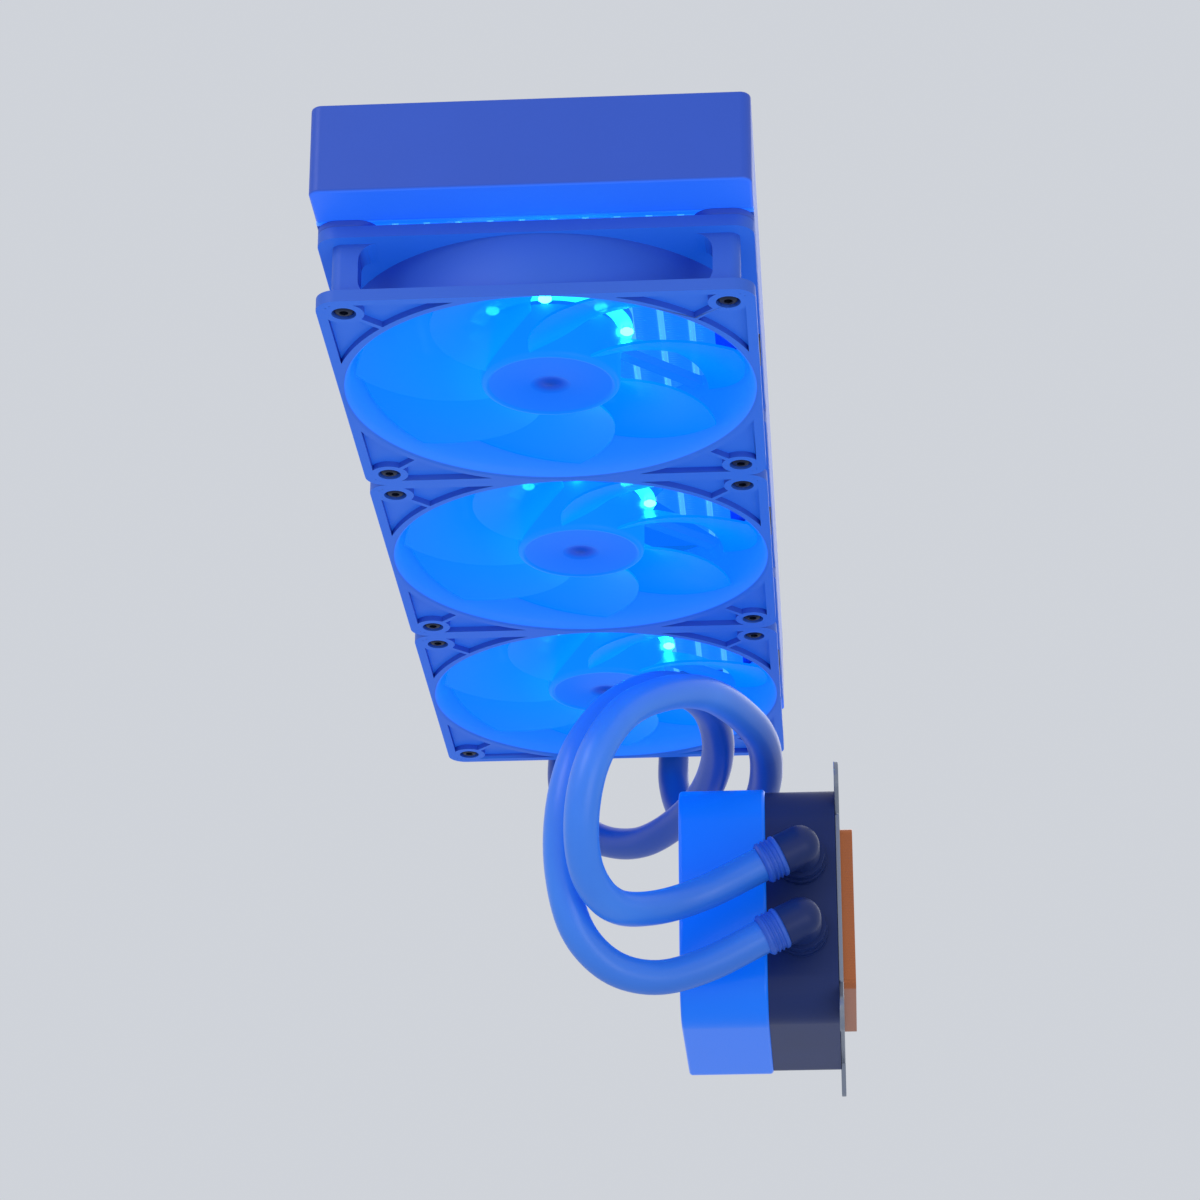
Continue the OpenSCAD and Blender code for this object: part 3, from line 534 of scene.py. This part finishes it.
wrapped = add_node(frame_tree, "ShaderNodeVectorMath",
                   {1: (1.0, bay_pitch / 2, 1.0), 2: (-1.0, -bay_pitch / 2, -1.0)},
                   {0: frame_place}, operation="WRAP")
in_duct = add_node(frame_tree, "ShaderNodeMath", {1: duct_glow_r},
                   {0: outward(frame_tree, wrapped.outputs[0], (1, 1, 0))}, operation="LESS_THAN")
duct_glow = add_node(frame_tree, "ShaderNodeMath", {1: painted_duct_glow_strength}, {0: in_duct.outputs[0]},
                     operation="MULTIPLY")
look = add_node(frame_tree, "ShaderNodeNewGeometry").outputs["Normal"]
look_z = add_node(frame_tree, "ShaderNodeSeparateXYZ", {}, {0: look}).outputs["Z"]
look_down = add_node(frame_tree, "ShaderNodeMapRange", {
    "From Min": down_facing[0], "From Max": down_facing[1], "To Max": painted_face_glow_strength},
    {"Value": look_z})
caught = add_node(frame_tree, "ShaderNodeMath", {},
                  {0: duct_glow.outputs[0], 1: look_down.outputs["Result"]}, operation="MAXIMUM")
frame_tree.links.new(caught.outputs[0], frame_shader.inputs["Emission Strength"])
frame_shader.inputs["Emission Color"].default_value = linear("#0A74F4")
bays = {"front": -120, "middle": 0, "rear": 120}
for bay in bays:
    softened("fan_frame_" + bay, frame_plastic, 0.45, sharp=50)


# ---- Fan rotors: translucent moulded hub and swept blades, lit from behind by the ring
# of lights on the motor base, so the whole rotor glows azure and the hub's face, which
# is thicker, stays a little darker.

hub_r = 20.0
tip_r = 55.5
root_r = 19.25
blade_low = 3.5
blade_high = 16.5
blade_count = 7
blade_t = 1.3
blade_sweep = 34
blade_camber = 0.12
root_chord = 1.02
chord_growth = 0.05
hub_top = 18.0
rotor_z = -52.0
glow_start_r = 18.0
rotor_glow = 0.85
rows = 17
cols = 21


def blade_point(f, c, side):
    """A point of the blade in m, f from root to tip, c along the chord, on side 1 or -1."""
    r = root_r + (tip_r - root_r) * f
    chord = 360 / blade_count * (root_chord + chord_growth * f)
    turn = math.radians(blade_sweep * f ** 1.4 + chord * c)
    z = blade_low + (blade_high - blade_low) * (c - blade_camber * math.sin(math.pi * c))
    half = blade_t / 2 * (0.3 + 0.7 * math.sin(math.pi * (0.1 + 0.8 * c)) ** 0.6)
    return Vector((r * math.cos(turn), r * math.sin(turn), z + side * half)) * MM


def blade_mesh():
    """One blade as a closed skin of rows from root to tip and columns along the chord."""
    bm = bmesh.new()
    skins = [[[bm.verts.new(blade_point(row / (rows - 1), col / (cols - 1), side)) for col in range(cols)]
              for row in range(rows)] for side in (1, -1)]
    for row in range(rows - 1):
        for col in range(cols - 1):
            for skin in skins:
                near, far = skin[row][col:col + 2], skin[row + 1][col:col + 2]
                bm.faces.new((near[0], far[0], far[1], near[1]))
    edge = ([(0, c) for c in range(cols)] + [(r, cols - 1) for r in range(1, rows)]
            + [(rows - 1, c) for c in range(cols - 2, -1, -1)] + [(r, 0) for r in range(rows - 2, 0, -1)])
    for (r0, c0), (r1, c1) in zip(edge, edge[1:] + edge[:1]):
        bm.faces.new((skins[0][r0][c0], skins[0][r1][c1], skins[1][r1][c1], skins[1][r0][c0]))
    bmesh.ops.recalc_face_normals(bm, faces=bm.faces)
    return bm


def lit_rings(tree, shader, place, centre, across, radii, stops):
    """Makes a finish glow in rings round an axis through centre (m), where across is 1 on the
    axes square to it. Each stop is a share of the way between the two radii, and a colour."""
    centred = add_node(tree, "ShaderNodeMapping", {"Location": [-c for c in centre]}, {"Vector": place})
    share = add_node(tree, "ShaderNodeMapRange", {"From Min": radii[0], "From Max": radii[1]},
                     {"Value": outward(tree, centred.outputs[0], across)})
    ramp = add_node(tree, "ShaderNodeValToRGB", {}, {"Fac": share.outputs["Result"]})
    ramp.color_ramp.elements[0].color = linear(stops[0][1])
    ramp.color_ramp.elements[1].color = linear(stops[-1][1])
    for stop, colour in stops[1:-1]:
        ramp.color_ramp.elements.new(stop).color = linear(colour)
    tree.links.new(ramp.outputs["Color"], shader.inputs["Emission Color"])


hub_profile = [
    (hub_r, hub_top), (hub_r, 3.6), (hub_r - 0.25, 2.7), (hub_r - 0.8, 2.15), (hub_r - 1.4, 2.0),
    (hub_r - 1.9, 2.05), (hub_r - 2.2, 2.4), (hub_r - 2.5, 2.45), (6.0, 2.45), (5.4, 2.6), (4.9, 2.8),
    (2.2, 2.95), (1.7, 2.7), (0.0, 2.6), (0.0, 3.45), (1.5, 3.45), (1.5, 5.5), (3.5, 5.5), (3.5, 3.5),
    (hub_r - 1.6, 3.5), (hub_r - 1.5, hub_top)]

for bay, bay_y in bays.items():
    # Translucent polycarbonate with diffuser, lit inside: even azure, a little brighter near
    # the hub where the diodes are.
    rotor_centre = (0, bay_y * MM, 0)
    blade_plastic, tree, shader, place = finish(
        "lit_translucent_polycarbonate_" + bay, "#0050B0", 0.35, grain=0.8, bump=0.01, mottle=0.05,
        gloss=0.12)
    lit_rings(tree, shader, place, rotor_centre, (1, 1, 0), (glow_start_r * MM, tip_r * MM),
              ((0, "#069CFF"), (0.35, "#008AFC"), (1, "#007EFA")))
    shader.inputs["Emission Strength"].default_value = rotor_glow
    shader.inputs["Alpha"].default_value = 0.8
    blades = piece_from("fan_blades_" + bay, blade_mesh(), blade_plastic, 50)
    blades = repeat(blades, blade_plastic, blade_count, turn=2 * math.pi / blade_count)
    moved(blades, (0, bay_y * MM, rotor_z * MM))
    rotor_body = body_of["fan_rotor_" + bay]
    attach(blades, rotor_body)
    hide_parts("fan_rotor_" + bay)

    # The same plastic on the hub's thicker face, dark at its middle.
    hub_plastic, tree, shader, place = finish(
        "lit_translucent_hub_" + bay, "#0040A0", 0.38, grain=0.8, bump=0.01, mottle=0.05,
        gloss=0.12)
    lit_rings(tree, shader, place, rotor_centre, (1, 1, 0), (0, hub_r * MM),
              ((0, "#002C90"), (0.16, "#0040C0"), (0.3, "#006CEE"), (0.86, "#0272F6"),
               (0.93, "#0A88FF"), (1, "#0C8CFF")))
    shader.inputs["Emission Strength"].default_value = rotor_glow
    bm = bmesh.new()
    lathe(bm, hub_profile, Matrix.Translation((0, bay_y, rotor_z)), steps=96, closed=True)
    bmesh.ops.remove_doubles(bm, verts=bm.verts, dist=weld_gap)
    hub = piece_from("fan_hub_" + bay, bm, hub_plastic, 50)
    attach(hub, rotor_body)


# ---- Fan lights: a ring board on each motor base with eight diodes that shine outwards
# and down through the rotor.

# Lit diode lens: nearly white at its middle, cyan where it spills.
diode_lens, _, shader, _ = finish("lit_diode_lens", "#9FFBFF", 0.3)
shader.inputs["Emission Color"].default_value = linear("#30F2FF")
shader.inputs["Emission Strength"].default_value = 16.0
# Ring board: white solder mask; the diodes' light on it is painted, as a cyan tint and glow.
ring_board_painted_glow, _, shader, _ = finish("white_solder_mask", "#8EC6FF", 0.35, grain=0.5)
shader.inputs["Emission Color"].default_value = linear("#20D8FF")
shader.inputs["Emission Strength"].default_value = 1.6
diode_count = 8
ring_r = 21.8
lens_z = -32.7
for bay, bay_y in bays.items():
    coat("fan_led_ring_" + bay, ring_board_painted_glow)
    bm = bmesh.new()
    lathe(bm, [(0, 0), (1.6, 0), (1.9, -0.3), (1.9, -0.9), (1.3, -1.4), (0, -1.6)],
          Matrix.Translation((ring_r, 0, lens_z)), steps=16)
    diodes = piece_from("fan_diodes_" + bay, bm, diode_lens)
    diodes = repeat(diodes, diode_lens, diode_count, turn=2 * math.pi / diode_count)
    moved(diodes, (0, bay_y * MM, 0))
    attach(diodes, "cooler")


# ---- Inside the fans: steel shaft in a sintered bronze sleeve, ferrite ring in the hub,
# and a stator of enamelled copper wire on the bearing tube.

# Ground steel: clean and bright. Sintered bronze: matt with open grain. Ferrite: dull
# charcoal grey. Enamelled wire: copper under a clear amber enamel, in turns 1.3 mm apart,
# coarser than real wire so that they show.
ground_steel = finish("ground_steel", "#A9ACB2", 0.28, grain=0.3, bump=0.01, metallic=1.0)[0]
bronze = finish("sintered_bronze", "#9A7338", 0.5, grain=0.3, bump=0.02, metallic=1.0)[0]
ferrite = finish("sintered_ferrite", "#2B2C30", 0.6, grain=0.4)[0]
winding, tree, shader, place = finish("enamelled_copper_wire", "#B0602C", 0.3, metallic=0.8)
turns = add_node(tree, "ShaderNodeTexWave", {"Scale": 250.0, "Distortion": 1.0}, {"Vector": place},
                 bands_direction="Z")
wire = add_node(tree, "ShaderNodeBump", {"Strength": 0.8, "Distance": 0.2 * MM},
                {"Height": turns.outputs["Fac"]})
tree.links.new(wire.outputs["Normal"], shader.inputs["Normal"])
for bay in bays:
    for inner, material in (("shaft", ground_steel), ("bearing", bronze), ("magnet", ferrite),
                            ("stator", winding)):
        coat("fan_%s_%s" % (inner, bay), material)


# ---- Fan fixings: rubber corner pads between frame and rail, long black screws in their
# corner recesses, and a small black socket for the lead on each frame.

# Soft silicone rubber pads: matt, tinted like the frames by the light round them.
pad_rubber = finish("silicone_rubber_pad", "#3A62CC", 0.65, grain=0.5)[0]
for bay in bays:
    softened("corner_pads_" + bay, pad_rubber, 0.3)

# Black zinc plating: dark and slightly glossy.
black_zinc = finish("black_zinc_plate", "#2A3550", 0.35, grain=0.4, metallic=0.7, colour_2="#1B2338")[0]
head_z = -50.0
screw_pitch = 105.0
bm = bmesh.new()
lathe(bm, [(0, 25.8), (1.2, 25.8), (1.5, 25.4), (1.5, 0), (2.9, 0), (2.9, -0.9), (2.6, -1.4),
           (2.0, -1.75), (1.3, -1.8), (1.15, -1.7, 6), (1.1, -0.8, 6), (0, -0.6)],
      Matrix.Translation((-screw_pitch / 2, bays["front"] - screw_pitch / 2, head_z)), steps=48)
screws = piece_from("fan_screws_button_head", bm, black_zinc, 35)
for count, step in ((2, (screw_pitch * MM, 0, 0)), (2, (0, screw_pitch * MM, 0)), (3, (0, bay_pitch, 0))):
    screws = repeat(screws, black_zinc, count, step)
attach(screws, "cooler")
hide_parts("fan_screws")

# Black nylon: the socket shells, fine and matt.
black_nylon = finish("black_glass_filled_nylon", "#182444", 0.48, grain=0.4, bump=0.03,
                     colour_2="#141B2E")[0]
softened("lead_sockets", black_nylon, 0.25)


# ---- Pump head, dry side: a deep white cap with large round corners, a frosted window
# in its face, and behind it the board and the stator round the rotor can.

# Moulded ABS cap: smooth satin white; the azure light round it is painted into its colour
# and a faint glow.
cap_plastic, _, cap_shader, _ = finish("satin_moulded_abs", "#0872EC", 0.36, grain=0.6, bump=0.015,
                                       mottle=0.03, gloss=0.3)
cap_shader.inputs["Coat Weight"].default_value = 0.15
cap_shader.inputs["Emission Color"].default_value = linear("#0468E8")
cap_shader.inputs["Emission Strength"].default_value = 0.4
softened("pump_cap", cap_plastic, 1.2, segments=4)

window_low, window_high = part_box("pump_window")
window_centre = (window_low + window_high) / 2 / MM
window_r = (window_high.z - window_low.z) / 2 / MM
# Frosted diffuser: milky, lit evenly from behind with a brighter outer ring.
frosted, tree, shader, place = finish("frosted_diffuser", "#7FB6F8", 0.45, grain=0.5)
lit_rings(tree, shader, place, (0, window_centre.y * MM, window_centre.z * MM), (0, 1, 1),
          (0, window_r * MM), ((0, "#0450C8"), (0.72, "#0A5FD8"), (0.78, "#4FD8FF"), (0.86, "#4FD8FF"),
                               (0.92, "#0A6BE8"), (1, "#0A6BE8")))
shader.inputs["Emission Strength"].default_value = 0.6
bm = bmesh.new()
lathe(bm, [(0, 0), (window_r * 0.7, 0.05), (window_r * 0.74, 0.25), (window_r * 0.9, 0.25),
           (window_r * 0.93, 0.05), (window_r - 0.3, 0.1), (window_r, 0.4), (window_r, 1.8), (0, 1.8)],
      Matrix.Translation((window_low.x / MM, window_centre.y, window_centre.z))
      @ Matrix.Rotation(math.pi / 2, 4, "Y"), steps=96)
window = piece_from("pump_window_disc", bm, frosted, 40)
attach(window, "cooler")
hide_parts("pump_window")

# Circuit board: green solder mask in faint blocks about 2 by 1 mm, like tracks under it.
board, tree, shader, place = finish("green_solder_mask", "#0E5A3A", 0.35, grain=0.4)
tracks = add_node(tree, "ShaderNodeTexBrick", {"Scale": 260.0, "Color1": linear("#0E5A3A"),
                  "Color2": linear("#12704A"), "Mortar": linear("#0A3F2A"), "Mortar Size": 0.03},
                  {"Vector": place})
tree.links.new(tracks.outputs["Color"], shader.inputs["Base Color"])
ceramic = finish("polished_ceramic", "#E9E6DC", 0.15, grain=0.3, bump=0.004)[0]
impeller_plastic = finish("moulded_acetal", "#D8DEE8", 0.4, grain=0.5)[0]
for inner, material in (("pump_circuit_board", board), ("pump_stator", winding), ("pump_shaft", ceramic),
                        ("pump_impeller", impeller_plastic), ("pump_magnet", ferrite),
                        ("chamber_cover", black_nylon)):
    coat(inner, material)


# ---- Pump head, wet side: black glass-filled body with the elbows screwed into its front,
# a nickel plated bracket and the milled copper cold plate with its screws.

body_nylon = finish("black_glass_filled_pps", "#152E6E", 0.42, grain=0.4, bump=0.03, colour_2="#10265C",
                    gloss=0.35)[0]
softened("pump_body", body_nylon, 0.7, segments=3, sharp=50)
for elbow in ("elbow_upper", "elbow_lower"):
    softened(elbow, body_nylon, 0.5, sharp=50)
plated_steel = finish("nickel_plated_sheet_steel", "#9AA1AE", 0.3, grain=0.5, bump=0.01, metallic=1.0)[0]
softened("pump_bracket", plated_steel, 0.25)

# Milled copper: fly-cut arcs about 0.8 mm apart across the whole face.
copper, tree, shader, place = finish("milled_copper", "#C8784E", 0.25, grain=0.4, metallic=1.0)
cuts = add_node(tree, "ShaderNodeTexWave", {"Scale": 380.0, "Distortion": 2.0, "Detail": 1.0},
                {"Vector": place}, wave_type="RINGS")
mill = add_node(tree, "ShaderNodeBump", {"Strength": 0.4, "Distance": 0.03 * MM},
                {"Height": cuts.outputs["Fac"]})
tree.links.new(mill.outputs["Normal"], shader.inputs["Normal"])
softened("cold_plate", copper, 0.2)
coat("cold_plate_screws", ground_steel)
